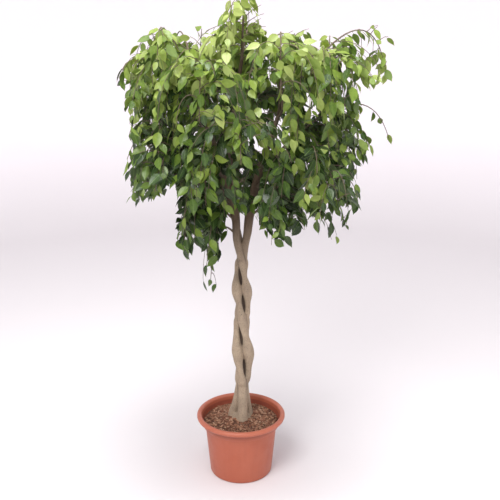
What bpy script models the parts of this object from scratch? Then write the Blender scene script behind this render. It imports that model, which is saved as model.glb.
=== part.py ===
"""Potted weeping fig: three braided stems, a weeping crown of leafy branches, soil and a nursery pot.

Everything is in metres, +Z up. The origin is the middle of the pot's flat underside, and the plant's
front looks along -Y. Each separate piece is one named object in the collection "potted_weeping_fig".
"""

import random
from math import cos, exp, pi, radians, sin, tau

import bmesh
import bpy
from mathutils import Matrix, Vector
from mathutils.bvhtree import BVHTree

# Clearance between pieces that touch, and the distance leaves keep from other branches.
GAP = 0.0003
LEAF_CLEARANCE = 0.0012
WELD = 0.00001

# Pot: moulded plastic, a tapered wall, a collar and a rolled rim.
POT_HEIGHT = 0.250
POT_FOOT_RADIUS = 0.1250
POT_FOOT_ROUNDING = 0.008
POT_WALL = 0.003
POT_FLOOR = 0.004
POT_SHOULDER_HEIGHT = 0.201
POT_SHOULDER_RADIUS = 0.1430
COLLAR_RADIUS = 0.1530
COLLAR_TOP_RADIUS = 0.1598
COLLAR_STEP = 0.004
RIM_ROLL_RADIUS = 0.0100
RIM_OUTER_RADIUS = 0.1765
RIM_ROLL_ANGLES = (195, 145, 100, 55, 15, -30, -75)
FOOT_CHAMFER = 0.3
POT_STEPS = 34
DRAIN_HOLES = 4
DRAIN_HOLE_SIDES = 8
DRAIN_HOLE_RADIUS = 0.006
DRAIN_CIRCLE_RADIUS = 0.092

# Soil: fills the pot to about 4 cm below the rim and is mounded up towards the stems.
SOIL_EDGE_HEIGHT = 0.2125
SOIL_MOUND = 0.020
SOIL_MOUND_POWER = 0.8
SOIL_RELIEF = 0.0022
SOIL_WAVES = (140, 160)
SOIL_RINGS = 3
SOIL_CLEARANCE = 0.00033

# Root crown: where the three stems join, planted in a round hole in the soil.
CROWN_RADIUS = 0.0592
CROWN_DEPTH = 0.155
CROWN_RIM_HEIGHT = 0.230
CROWN_FLARE = ((0.0400, 0.238), (0.0240, 0.250))
CROWN_STEPS = 20
CROWN_HOLE_RADIUS = 0.0598

# Braid: three stems wound round each other. A knot is its height, and how far out and how thick the
# stems are there. A bulge between two knots is how much further out and thicker they are, and its sway.
STEMS = 3
KNOTS = ((0.378, 0.0100, 0.0165), (0.653, 0.0100, 0.0160), (0.885, 0.0080, 0.0135))
BULGES = ((0.0152, 0.0060, 0.0035), (0.0135, 0.0050, 0.0))
BULGE_FULLNESS = 0.4
SLOT_DEPTH = 0.0072
BRAID_CENTRE_X = 0.0055
CORE_RADIUS = 0.0100
CORE_HEIGHTS = (0.240, 0.378, 0.450, 0.515, 0.580, 0.653, 0.885)
FOOT_OFFSET = 0.0362
FOOT_STEM_RADIUS = 0.0205
FOOT_HEIGHT = 0.215
FOOT_SPREAD_POWER = 1.25
FOOT_LEAN_HEIGHT = 0.12
UNTWIST_LENGTH = 0.02
STEM_RING_SPACING = 0.0305
LIMB_SIDES = 8
LIMB_STEPS = 2
TWIG_SIDES = 3
FRONT = radians(270)

# Limbs: each stem goes on as a limb through these places (x, y, z, radius), as on the plant.
LIMBS = {
    "left": (
        (-0.0100, -0.0100, 0.950, 0.0140),
        (-0.0140, -0.0150, 1.000, 0.0155),
        (-0.0210, -0.0200, 1.090, 0.0160),
        (-0.0560, -0.0340, 1.220, 0.0130),
        (-0.1050, -0.0460, 1.360, 0.0100),
        (-0.1500, -0.0500, 1.480, 0.0070),
    ),
    "right": (
        (0.0190, -0.0020, 0.950, 0.0140),
        (0.0275, -0.0060, 1.000, 0.0165),
        (0.0390, -0.0100, 1.090, 0.0175),
        (0.0690, -0.0120, 1.220, 0.0140),
        (0.1150, 0.0000, 1.360, 0.0105),
        (0.1620, 0.0180, 1.480, 0.0070),
    ),
    "back": (
        (-0.0010, 0.0150, 0.950, 0.0120),
        (-0.0120, 0.0250, 1.000, 0.0125),
        (-0.0340, 0.0420, 1.110, 0.0135),
        (-0.0380, 0.0640, 1.300, 0.0115),
        (-0.0140, 0.0680, 1.480, 0.0085),
        (0.0100, 0.0500, 1.640, 0.0055),
    ),
}
LIMB_STEM = {"left": 0, "right": 1, "back": 2}

# Leafy branches: limb, height where it leaves the limb, tip (x, y, z), and height of its arch.
LEAFY_BRANCHES = (
    ("back", 1.620, (0.020, 0.000, 1.820), 1.800),
    ("left", 1.470, (-0.110, -0.060, 1.770), 1.750),
    ("right", 1.460, (0.120, -0.030, 1.750), 1.730),
    ("back", 1.560, (0.050, 0.200, 1.640), 1.725),
    ("left", 1.450, (-0.300, -0.160, 1.550), 1.700),
    ("left", 1.475, (-0.405, 0.040, 1.460), 1.630),
    ("left", 1.430, (-0.260, 0.240, 1.540), 1.700),
    ("back", 1.440, (-0.060, 0.415, 1.440), 1.620),
    ("back", 1.460, (0.240, 0.320, 1.530), 1.700),
    ("right", 1.475, (0.530, 0.060, 1.570), 1.705),
    ("right", 1.400, (0.350, -0.210, 1.470), 1.620),
    ("right", 1.430, (0.130, -0.360, 1.520), 1.690),
    ("left", 1.330, (-0.120, -0.380, 1.440), 1.590),
    ("left", 1.190, (-0.410, -0.120, 1.220), 1.380),
    ("left", 1.290, (-0.350, 0.240, 1.330), 1.490),
    ("back", 1.200, (-0.160, 0.425, 1.190), 1.360),
    ("back", 1.280, (0.150, 0.430, 1.310), 1.480),
    ("right", 1.200, (0.400, 0.240, 1.200), 1.370),
    ("right", 1.230, (0.530, -0.050, 1.350), 1.450),
    ("right", 1.160, (0.330, -0.290, 1.150), 1.320),
    ("left", 1.190, (0.010, -0.400, 1.270), 1.430),
    ("left", 1.200, (-0.280, -0.310, 1.170), 1.350),
    ("left", 1.040, (-0.210, -0.120, 0.940), 1.120),
    ("left", 1.090, (-0.410, 0.060, 1.080), 1.210),
    ("back", 1.060, (-0.150, 0.280, 0.980), 1.160),
    ("back", 1.120, (0.130, 0.310, 1.020), 1.210),
    ("right", 1.050, (0.200, -0.130, 0.990), 1.130),
    ("right", 1.100, (0.400, 0.060, 1.010), 1.200),
    ("left", 0.985, (-0.110, -0.060, 0.830), 1.020),
)
BRANCH_BASE_RADIUS = 0.0062
BRANCH_SEAT_RADIUS = 0.0045
BRANCH_TIP_RADIUS = 0.0016
STUB_LENGTH = 0.075
SEAT_LENGTH = 0.004
BRANCH_POINTS = 7
SIDE_TWIGS = ((0.42, 1), (0.66, -1))
SIDE_TWIG_TURN = 58
SIDE_TWIG_LENGTH = 0.17
SIDE_TWIG_SHAPE = ((0.40, 0.10), (0.62, -0.25), (0.66, -0.72))
SIDE_TWIG_RADIUS = 0.0019
SIDE_TWIG_TIP_RADIUS = 0.0013
SIDE_TWIG_POINTS = 4
ARCH_START = 0.36
ARCH_RISE = 0.45
ARCH_FALL = 0.82

# Steps in which a curve's length is measured.
FINE_STEPS = 120

# Leaves: pointed ovals, arched along their length, hanging from the twigs.
LEAF_LENGTH = 0.062
LEAF_WIDTH = 0.034
LEAF_THICKNESS = 0.0008
LEAF_SIZES = (0.86, 1.08)
LEAF_BELLY = (0.50, 0.36)
LEAF_FLANK = (0.33, 0.68)
LEAF_ARCH = 0.10
LEAF_DROOP = 0.12
LEAF_SINK = 0.0013
LEAF_OUT = 0.62
LEAF_AHEAD = 0.30
LEAF_DOWN = 0.85
LEAF_SCATTER = 0.2
LEAF_FACE_SCATTER = 0.5
LEAF_FACE_RISE = (0.1, 0.7)
LEAF_NECK = 0.25
LEAF_SPREAD = 0.7
LEAF_SPACING = 0.0875
FIRST_LEAF = 0.16
LAST_LEAF = 0.985
FIRST_TWIG_LEAF = 0.30
LEAF_SEED = 1000
UPRIGHT = 0.2
SWINGS = (0, 24, -24, 48, -48, 80, -80, 120, -120)


def clear_scene():
    for thing in list(bpy.data.objects):
        bpy.data.objects.remove(thing, do_unlink=True)
    for group in list(bpy.data.collections):
        bpy.data.collections.remove(group)


def new_collection(name):
    group = bpy.data.collections.new(name)
    bpy.context.scene.collection.children.link(group)
    return group


def finish_material(name, colour, roughness):
    material = bpy.data.materials.new(name)
    material.use_nodes = True
    shader = material.node_tree.nodes["Principled BSDF"]
    shader.inputs["Base Color"].default_value = (*colour, 1.0)
    shader.inputs["Roughness"].default_value = roughness
    shader.inputs["Metallic"].default_value = 0.0
    return material


def add_object(name, mesh, group):
    thing = bpy.data.objects.new(name, mesh)
    group.objects.link(thing)
    return thing


def solid_copy(thing, group):
    """Replace an object by a plain mesh object of its evaluated shape, with its caps welded."""
    bpy.context.view_layer.update()
    evaluated = thing.evaluated_get(bpy.context.evaluated_depsgraph_get())
    mesh = bpy.data.meshes.new_from_object(evaluated)
    weld = bmesh.new()
    weld.from_mesh(mesh)
    bmesh.ops.remove_doubles(weld, verts=weld.verts, dist=WELD)
    bmesh.ops.recalc_face_normals(weld, faces=weld.faces)
    weld.to_mesh(mesh)
    weld.free()
    name = thing.name
    place = thing.matrix_world.copy()
    bpy.data.objects.remove(thing, do_unlink=True)
    copy = add_object(name, mesh, group)
    copy.matrix_world = place
    return copy


def turned(name, profile, steps, group):
    """A turned solid: the profile of (radius, height) points, top to bottom, screwed round Z."""
    mesh = bpy.data.meshes.new(name)
    points = [(radius, 0.0, height) for radius, height in profile]
    mesh.from_pydata(points, [(i, i + 1) for i in range(len(points) - 1)], [])
    thing = add_object(name, mesh, group)
    screw = thing.modifiers.new("turn", "SCREW")
    screw.steps = steps
    screw.render_steps = steps
    screw.use_merge_vertices = True
    screw.merge_threshold = WELD
    return thing


def tube(name, points, radii, sides, group):
    """A tapered rod through the points, as a solid mesh. Its section has 3, 4, 6 or 8 sides."""
    curve = bpy.data.curves.new(name, "CURVE")
    curve.dimensions = "3D"
    curve.use_fill_caps = True
    if sides == 3:
        curve.bevel_mode = "OBJECT"
        curve.bevel_object = bpy.data.objects["twig_section"]
    else:
        curve.bevel_depth = 1.0
        curve.bevel_resolution = (sides - 4) // 2
    spline = curve.splines.new("POLY")
    spline.points.add(len(points) - 1)
    for node, point, radius in zip(spline.points, points, radii):
        node.co = (*point, 1.0)
        node.radius = radius
    return solid_copy(add_object(name, curve, group), group)


def make_twig_section(group):
    """A three-sided section of unit radius, which the thin twigs are drawn out with."""
    outline = bpy.data.curves.new("twig_section", "CURVE")
    spline = outline.splines.new("POLY")
    spline.points.add(2)
    spline.use_cyclic_u = True
    for corner, point in enumerate(spline.points):
        angle = tau * corner / 3
        point.co = (cos(angle), sin(angle), 0.0, 1.0)
    section = add_object("twig_section", outline, group)
    section.hide_render = True
    section.display_type = "WIRE"


def unite(target, pieces):
    """Fuse a collection of pieces into the target and remove them."""
    union = target.modifiers.new("fuse", "BOOLEAN")
    union.operation = "UNION"
    union.operand_type = "COLLECTION"
    union.collection = pieces
    union.solver = "EXACT"
    bpy.context.view_layer.update()
    evaluated = target.evaluated_get(bpy.context.evaluated_depsgraph_get())
    mesh = bpy.data.meshes.new_from_object(evaluated)
    target.modifiers.clear()
    target.data = mesh
    for piece in list(pieces.objects):
        bpy.data.objects.remove(piece, do_unlink=True)
    bpy.data.collections.remove(pieces)


def through_points(places, steps):
    """A smooth Catmull-Rom path through places, as vectors of any length."""
    path = []
    padded = [places[0] * 2 - places[1], *places, places[-1] * 2 - places[-2]]
    for a, b, c, d in zip(padded, padded[1:], padded[2:], padded[3:]):
        for step in range(steps):
            t = step / steps
            path.append(0.5 * (2 * b + (c - a) * t + (2 * a - 5 * b + 4 * c - d) * t * t
                               + (3 * b - a - 3 * c + d) * t ** 3))
    path.append(places[-1])
    return path


def bezier(corners, t):
    a, b, c, d = corners
    s = 1 - t
    return a * s ** 3 + b * (3 * s * s * t) + c * (3 * s * t * t) + d * t ** 3


def pot_wall_radius(height):
    """Outer radius of the pot's tapered wall."""
    share = (height - POT_FOOT_ROUNDING) / (POT_SHOULDER_HEIGHT - POT_FOOT_ROUNDING)
    return POT_FOOT_RADIUS + (POT_SHOULDER_RADIUS - POT_FOOT_RADIUS) * share


def make_pot(parts, cutters):
    roll_centre = (RIM_OUTER_RADIUS - RIM_ROLL_RADIUS, POT_HEIGHT - RIM_ROLL_RADIUS)
    roll = []
    for angle in RIM_ROLL_ANGLES:
        radius = roll_centre[0] + RIM_ROLL_RADIUS * cos(radians(angle))
        roll.append((radius, roll_centre[1] + RIM_ROLL_RADIUS * sin(radians(angle))))
    inner_floor = pot_wall_radius(POT_FOOT_ROUNDING) - POT_WALL
    rounding = POT_FOOT_ROUNDING
    profile = [
        (0.0, POT_FLOOR),
        (inner_floor - POT_FLOOR, POT_FLOOR),
        (inner_floor, 2 * POT_FLOOR),
        (POT_SHOULDER_RADIUS - POT_WALL, POT_SHOULDER_HEIGHT + COLLAR_STEP / 2),
        (COLLAR_RADIUS - POT_WALL, POT_SHOULDER_HEIGHT + 2 * COLLAR_STEP),
        *roll,
        (COLLAR_TOP_RADIUS, POT_HEIGHT - 2 * RIM_ROLL_RADIUS),
        (COLLAR_RADIUS, POT_SHOULDER_HEIGHT + COLLAR_STEP),
        (POT_SHOULDER_RADIUS, POT_SHOULDER_HEIGHT),
        (POT_FOOT_RADIUS, rounding),
        (POT_FOOT_RADIUS - FOOT_CHAMFER * rounding, FOOT_CHAMFER * rounding),
        (POT_FOOT_RADIUS - rounding, 0.0),
        (0.0, 0.0),
    ]
    pot = turned("pot", profile, POT_STEPS, parts)
    for number in range(DRAIN_HOLES):
        angle = tau * number / DRAIN_HOLES
        bpy.ops.mesh.primitive_cylinder_add(
            vertices=DRAIN_HOLE_SIDES,
            radius=DRAIN_HOLE_RADIUS,
            depth=4 * POT_FLOOR,
            location=(DRAIN_CIRCLE_RADIUS * cos(angle), DRAIN_CIRCLE_RADIUS * sin(angle), 0.0),
        )
        drill = bpy.context.object
        drill.name = f"drain_drill_{number + 1}"
        for group in list(drill.users_collection):
            group.objects.unlink(drill)
        cutters.objects.link(drill)
        drill.hide_render = True
        drill.display_type = "WIRE"
    holes = pot.modifiers.new("drain_holes", "BOOLEAN")
    holes.operation = "DIFFERENCE"
    holes.operand_type = "COLLECTION"
    holes.collection = cutters
    holes.solver = "EXACT"
    pot.data.materials.append(finish_material("terracotta_plastic", (0.46, 0.125, 0.07), 0.45))


def make_soil(parts):
    waves_x, waves_y = SOIL_WAVES
    inner_floor = pot_wall_radius(POT_FOOT_ROUNDING) - POT_WALL
    edge_radius = COLLAR_RADIUS - POT_WALL - SOIL_CLEARANCE
    shoulder_radius = POT_SHOULDER_RADIUS - POT_WALL - SOIL_CLEARANCE
    profile = [(0.0, CROWN_DEPTH - GAP), (CROWN_HOLE_RADIUS, CROWN_DEPTH - GAP)]
    for ring in range(SOIL_RINGS + 1):
        share = ring / SOIL_RINGS
        radius = CROWN_HOLE_RADIUS + (edge_radius - CROWN_HOLE_RADIUS) * share
        profile.append((radius, SOIL_EDGE_HEIGHT + SOIL_MOUND * (1 - share ** SOIL_MOUND_POWER)))
    profile += [
        (edge_radius, POT_SHOULDER_HEIGHT + 2 * COLLAR_STEP + SOIL_CLEARANCE),
        (shoulder_radius, POT_SHOULDER_HEIGHT + COLLAR_STEP / 2 + SOIL_CLEARANCE),
        (inner_floor - SOIL_CLEARANCE, 2 * POT_FLOOR + SOIL_CLEARANCE),
        (inner_floor - POT_FLOOR - SOIL_CLEARANCE, POT_FLOOR + GAP),
        (0.0, POT_FLOOR + GAP),
    ]
    soil = solid_copy(turned("soil", profile, POT_STEPS, parts), parts)
    for vertex in soil.data.vertices:
        if vertex.co.z > SOIL_EDGE_HEIGHT + WELD:
            vertex.co.z += SOIL_RELIEF * sin(vertex.co.x * waves_x) * cos(vertex.co.y * waves_y)
    soil.data.materials.append(finish_material("bark_mulch_soil", (0.12, 0.06, 0.035), 0.9))


def braid_place(stem, height):
    """Centre and radius of a braided stem at a height: x, y, z, radius."""
    lowest = KNOTS[0]
    part = 0 if height < KNOTS[1][0] else 1
    low, high = KNOTS[part:part + 2]
    share = (height - low[0]) / (high[0] - low[0])
    sway = 0.0
    if height > lowest[0]:
        turns = (STEMS - 1 - part - share) / STEMS
        bulge_offset, bulge_radius, bulge_sway = BULGES[part]
        wave = max(0.0, sin(pi * share))
        offset = low[1] + (high[1] - low[1]) * share + bulge_offset * wave ** BULGE_FULLNESS
        radius = low[2] + (high[2] - low[2]) * share + bulge_radius * wave
        radius -= SLOT_DEPTH * sin(tau * share) ** 2
        sway = bulge_sway * wave
    else:
        below = lowest[0] - height
        untwist = UNTWIST_LENGTH * (1 - exp(-below / UNTWIST_LENGTH))
        turns = (STEMS - 1 + untwist / (high[0] - low[0])) / STEMS
        spread = (below / (lowest[0] - FOOT_HEIGHT)) ** FOOT_SPREAD_POWER
        offset = lowest[1] + (FOOT_OFFSET - lowest[1]) * spread
        radius = lowest[2] + (FOOT_STEM_RADIUS - lowest[2]) * spread
    angle = FRONT + tau * (stem / STEMS + turns)
    centre = BRAID_CENTRE_X * min(1.0, max(0.0, (height - FOOT_HEIGHT) / FOOT_LEAN_HEIGHT)) + sway
    return Vector((centre + offset * cos(angle), offset * sin(angle), height, radius))


def braid_middle(height):
    """The middle of the three braided stems at a height, where an inner core fills the braid."""
    return sum((braid_place(stem, height).to_3d() for stem in range(STEMS)), Vector()) / STEMS


def limb_path(limb):
    """The whole stem of a limb, from its foot in the root crown to its end, as x, y, z, radius."""
    stem = LIMB_STEM[limb]
    braid_height = KNOTS[-1][0] - FOOT_HEIGHT
    count = round(braid_height / STEM_RING_SPACING)
    braid = [braid_place(stem, FOOT_HEIGHT + braid_height * step / count) for step in range(count + 1)]
    upper = through_points([braid[-1], *(Vector(place) for place in LIMBS[limb])], LIMB_STEPS)
    return braid + upper[1:]


def place_at_height(path, height):
    for low, high in zip(path, path[1:]):
        if low.z <= height <= high.z:
            return low.lerp(high, (height - low.z) / (high.z - low.z))
    return path[-1]


def branch_corners(path, height, tip, crest):
    """Bezier corners of an arching branch: out of its limb, over its crest, down to its tip."""
    start = place_at_height(path, height).to_3d()
    tip = Vector(tip)
    reach = tip - start
    middle = (crest - (start.z + tip.z) / 8) * 8 / 3
    fall_height = (middle - start.z * (1 - ARCH_RISE)) / (1 + ARCH_RISE)
    rise = start + reach * ARCH_START
    rise.z = start.z + ARCH_RISE * (fall_height - start.z)
    fall = start + reach * ARCH_FALL
    fall.z = fall_height
    return (start, rise, fall, tip)


def even_points(corners, count):
    """Points spaced evenly by length along a Bezier curve, with its ends."""
    fine = [bezier(corners, step / FINE_STEPS) for step in range(FINE_STEPS + 1)]
    travelled = [0.0]
    for a, b in zip(fine, fine[1:]):
        travelled.append(travelled[-1] + (b - a).length)
    points = []
    for number in range(count):
        goal = travelled[-1] * number / (count - 1)
        points.append(min(zip(travelled, fine), key=lambda pair: abs(pair[0] - goal))[1])
    return points


def split_at_seat(corners):
    """The branch's curve as the trunk's stub and the leafy rod beyond it, which meet face to face."""
    whole = even_points(corners, FINE_STEPS)
    seat = next(i for i, point in enumerate(whole) if (point - whole[0]).length >= STUB_LENGTH)
    heading = (whole[seat + 1] - whole[seat - 1]).normalized()
    middle = whole[seat]
    stub = [whole[0], whole[seat // 2]]
    stub += [middle - heading * SEAT_LENGTH, middle - heading * GAP / 2]
    rod = [middle + heading * GAP / 2, middle + heading * SEAT_LENGTH]
    left = len(whole) - 1 - seat
    rod += [whole[seat + left * step // BRANCH_POINTS] for step in range(1, BRANCH_POINTS + 1)]
    return stub, rod


def taper(first, last, count):
    return [first + (last - first) * step / (count - 1) for step in range(count)]


def on_rod(rod, share):
    """Place and heading at a share of a rod's points."""
    place = share * (len(rod) - 1)
    step = min(int(place), len(rod) - 2)
    return rod[step].lerp(rod[step + 1], place - step), (rod[step + 1] - rod[step]).normalized()


def side_rod(rod, share, turn, length):
    """Points of a hanging side twig that leaves a leafy branch, turned from the branch's heading."""
    start, heading = on_rod(rod, share)
    flat = Vector((heading.x, heading.y, 0.0)).normalized()
    out = Matrix.Rotation(radians(turn), 3, "Z") @ flat
    corners = [start]
    for ahead, rise in SIDE_TWIG_SHAPE:
        corners.append(start + out * (ahead * length) + Vector((0.0, 0.0, rise * length)))
    return even_points(corners, SIDE_TWIG_POINTS)


def leaf_mesh(root, hang, face, length, width):
    """An arched blade: the root is sunk in the twig, hang points to the tip, face is the upper side."""
    along = hang.normalized()
    across = along.cross(face).normalized()
    up = across.cross(along).normalized()
    blade = bmesh.new()

    def corner(half, share, lift):
        place = root + along * (share * length) + across * (half * width) + up * (lift * width)
        return blade.verts.new(place)

    base = corner(0, 0, 0)
    belly = [corner(side * LEAF_BELLY[0], LEAF_BELLY[1], LEAF_ARCH) for side in (-1, 1)]
    flank = [corner(side * LEAF_FLANK[0], LEAF_FLANK[1], LEAF_ARCH / 2) for side in (-1, 1)]
    tip = corner(0, 1, -LEAF_DROOP)
    blade.faces.new((base, belly[0], belly[1]))
    blade.faces.new((belly[0], flank[0], flank[1], belly[1]))
    blade.faces.new((flank[0], tip, flank[1]))
    blade.normal_update()
    bmesh.ops.solidify(blade, geom=blade.faces[:], thickness=LEAF_THICKNESS)
    bmesh.ops.recalc_face_normals(blade, faces=blade.faces)
    return blade


def mesh_tree(thing, margin=0.0):
    copy = bmesh.new()
    copy.from_mesh(thing.data)
    copy.transform(thing.matrix_world)
    tree = BVHTree.FromBMesh(copy, epsilon=margin)
    copy.free()
    return tree


def leaf_stations(rod, first):
    """Shares along a rod where leaves stand."""
    length = sum((b - a).length for a, b in zip(rod, rod[1:])) * (LAST_LEAF - first)
    count = max(1, round(length / LEAF_SPACING))
    return [first + (LAST_LEAF - first) * number / count for number in range(count + 1)]


def leaf_pose(rod, bark, share, side, swing, outward, draw):
    """Root, hanging direction and upper side of a leaf that grows from one flat of a twig."""
    place, heading = on_rod(rod, share)
    across = heading.cross(Vector((0.0, 0.0, 1.0)))
    if across.length < UPRIGHT:
        across = outward.cross(Vector((0.0, 0.0, 1.0)))
    across.normalize()
    hang = across * (side * LEAF_OUT) + heading * LEAF_AHEAD - Vector((0.0, 0.0, LEAF_DOWN))
    hang += Vector([draw.uniform(-LEAF_SCATTER, LEAF_SCATTER) for _ in range(3)])
    hang = Matrix.Rotation(radians(swing), 3, "Z") @ hang
    off_twig = (hang - heading * hang.dot(heading)).normalized()
    surface, flat, _, _ = bark.find_nearest(place + off_twig * BRANCH_SEAT_RADIUS)
    depth = (surface - place).dot(flat)
    root = place + flat * max(0.0, depth - LEAF_SINK)
    hang = (hang.normalized() + flat * LEAF_SPREAD).normalized()
    scatter = [draw.uniform(-LEAF_FACE_SCATTER, LEAF_FACE_SCATTER) for _ in range(2)]
    face = outward + Vector((*scatter, draw.uniform(*LEAF_FACE_RISE)))
    return root, hang, face


def place_leaf(rod, bark, share, side, outward, draw, own_wood, others, placed, group):
    """Hang one leaf clear of every other piece, swung round its twig where it has to be."""
    length = LEAF_LENGTH * draw.uniform(*LEAF_SIZES)
    width = LEAF_WIDTH * draw.uniform(*LEAF_SIZES)
    state = draw.getstate()
    for swing in SWINGS:
        draw.setstate(state)
        root, hang, face = leaf_pose(rod, bark, share, side, swing, outward, draw)
        blade = leaf_mesh(root, hang, face, length, width)
        tree = BVHTree.FromBMesh(blade, epsilon=LEAF_CLEARANCE)
        outer = leaf_mesh(root + hang * LEAF_NECK * length, hang, face, (1 - LEAF_NECK) * length, width)
        outer_tree = BVHTree.FromBMesh(outer, epsilon=LEAF_CLEARANCE)
        outer.free()
        clear = not any(tree.overlap(other) for other in others)
        clear = clear and not any(tree.overlap(other) for other in placed)
        clear = clear and not any(outer_tree.overlap(wood) for wood in own_wood)
        if clear:
            mesh = bpy.data.meshes.new("leaf")
            blade.to_mesh(mesh)
            blade.free()
            add_object("leaf", mesh, group)
            placed.append(tree)
            return
        blade.free()


def make_trunk(paths, stubs, parts):
    """One solid: the root crown, three braided stems with their limbs, and a stub for each branch."""
    profile = [
        (0.0, CROWN_FLARE[-1][1]),
        *reversed(CROWN_FLARE),
        (CROWN_RADIUS, CROWN_RIM_HEIGHT),
        (CROWN_RADIUS, CROWN_DEPTH),
        (0.0, CROWN_DEPTH),
    ]
    trunk = solid_copy(turned("trunk", profile, CROWN_STEPS, parts), parts)
    core = [braid_middle(height) for height in CORE_HEIGHTS]
    wood = new_collection("wood")
    for limb, path in paths.items():
        radii = [place.w for place in path]
        tube(f"{limb}_limb", [place.to_3d() for place in path], radii, LIMB_SIDES, wood)
    tube("core", core, [CORE_RADIUS] * len(core), LIMB_SIDES, wood)
    for number, stub in enumerate(stubs, 1):
        radii = taper(BRANCH_BASE_RADIUS, BRANCH_SEAT_RADIUS, len(stub))
        tube(f"stub_{number}", stub, radii, TWIG_SIDES, wood)
    trees = [mesh_tree(piece) for piece in wood.objects]
    unite(trunk, wood)
    trunk.data.materials.clear()
    trunk.data.materials.append(finish_material("fig_bark", (0.42, 0.33, 0.24), 0.85))
    return trees


def start_branch(number, rod, parts):
    """The woody rod of a leafy branch, with an empty collection for its side twigs and leaves."""
    name = f"leafy_branch_{number:02d}"
    stem = tube(name, rod, taper(BRANCH_SEAT_RADIUS, BRANCH_TIP_RADIUS, len(rod)), TWIG_SIDES, parts)
    sprigs = new_collection("sprigs_of_" + name)
    return {"stem": stem, "sprigs": sprigs, "rods": [rod], "trees": [mesh_tree(stem)]}


def grow_side_twigs(branch, mirror, others):
    """Side twigs, turned away from whatever they would cross."""
    for share, side in SIDE_TWIGS:
        for swing in SWINGS:
            turn = side * mirror * SIDE_TWIG_TURN + swing
            rod = side_rod(branch["rods"][0], share, turn, SIDE_TWIG_LENGTH)
            radii = taper(SIDE_TWIG_RADIUS, SIDE_TWIG_TIP_RADIUS, len(rod))
            twig = tube("side_twig", rod, radii, TWIG_SIDES, branch["sprigs"])
            tree = mesh_tree(twig, LEAF_CLEARANCE)
            if not any(tree.overlap(other) for other in others):
                branch["rods"].append(rod)
                branch["trees"].append(tree)
                break
            bpy.data.objects.remove(twig, do_unlink=True)


def hang_leaves(branch, others, placed, draw):
    """Leaves on alternate sides of every twig of a branch."""
    wood = branch["trees"]
    sprigs = branch["sprigs"]
    for rod, bark in zip(branch["rods"], wood):
        first = FIRST_LEAF if rod is branch["rods"][0] else FIRST_TWIG_LEAF
        outward = Vector((rod[-1].x, rod[-1].y, 0.0)).normalized()
        for place, share in enumerate(leaf_stations(rod, first)):
            side = 1 if place % 2 else -1
            place_leaf(rod, bark, share, side, outward, draw, wood, others, placed, sprigs)


clear_scene()
parts = new_collection("potted_weeping_fig")
cutters = new_collection("cutters")
make_pot(parts, cutters)
make_soil(parts)
make_twig_section(new_collection("guides"))

limb_paths = {limb: limb_path(limb) for limb in LIMBS}
halves = [
    split_at_seat(branch_corners(limb_paths[limb], height, tip, crest))
    for limb, height, tip, crest in LEAFY_BRANCHES
]
trunk_trees = make_trunk(limb_paths, [stub for stub, rod in halves], parts)
branches = [start_branch(number, rod, parts) for number, (stub, rod) in enumerate(halves, 1)]


def wood_beside(branch):
    """Search trees of the trunk's wood and of every other branch's wood."""
    trees = list(trunk_trees)
    for other in branches:
        if other is not branch:
            trees += other["trees"]
    return trees


for number, branch in enumerate(branches, 1):
    grow_side_twigs(branch, (-1) ** number, wood_beside(branch))
leaf_finish = finish_material("fig_leaf", (0.07, 0.22, 0.03), 0.4)
placed = []
for number, branch in enumerate(branches, 1):
    hang_leaves(branch, wood_beside(branch), placed, random.Random(LEAF_SEED + number))
    unite(branch["stem"], branch["sprigs"])
    branch["stem"].data.materials.clear()
    branch["stem"].data.materials.append(leaf_finish)
bpy.data.objects.remove(bpy.data.objects["twig_section"], do_unlink=True)
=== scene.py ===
import random
from math import ceil, cos, exp, pi, radians, sin, tau

import bmesh
import bpy
from mathutils import Matrix, Vector, noise
from mathutils.kdtree import KDTree


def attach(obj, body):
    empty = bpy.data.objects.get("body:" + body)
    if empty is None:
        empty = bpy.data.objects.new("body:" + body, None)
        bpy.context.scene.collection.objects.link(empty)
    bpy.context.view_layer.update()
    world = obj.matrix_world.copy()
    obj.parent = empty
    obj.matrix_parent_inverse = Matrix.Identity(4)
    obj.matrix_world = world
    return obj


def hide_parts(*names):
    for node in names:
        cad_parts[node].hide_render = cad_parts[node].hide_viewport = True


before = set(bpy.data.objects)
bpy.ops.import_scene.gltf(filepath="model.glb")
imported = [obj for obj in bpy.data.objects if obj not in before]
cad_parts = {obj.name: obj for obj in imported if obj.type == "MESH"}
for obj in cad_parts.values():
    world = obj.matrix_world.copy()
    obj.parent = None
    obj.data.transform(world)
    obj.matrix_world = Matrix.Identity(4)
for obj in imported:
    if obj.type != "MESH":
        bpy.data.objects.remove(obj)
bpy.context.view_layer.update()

# Camera
# A viewer stands 2.6 m in front of the plant, a little to its right, with the eye at 1.65 m,
# and looks down just enough to take in the whole pot.
EYE = Vector((0.0365, -2.622, 1.650))
LOOK_DOWN = radians(15.45)
LENS = 51.84
camera = bpy.data.objects.new("viewer", bpy.data.cameras.new("viewer"))
camera.data.lens = LENS
camera.data.sensor_width = 36.0
camera.location = EYE
camera.rotation_euler = (pi / 2 - LOOK_DOWN, 0.0, 0.0)
bpy.context.scene.collection.objects.link(camera)
bpy.context.scene.camera = camera

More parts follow.
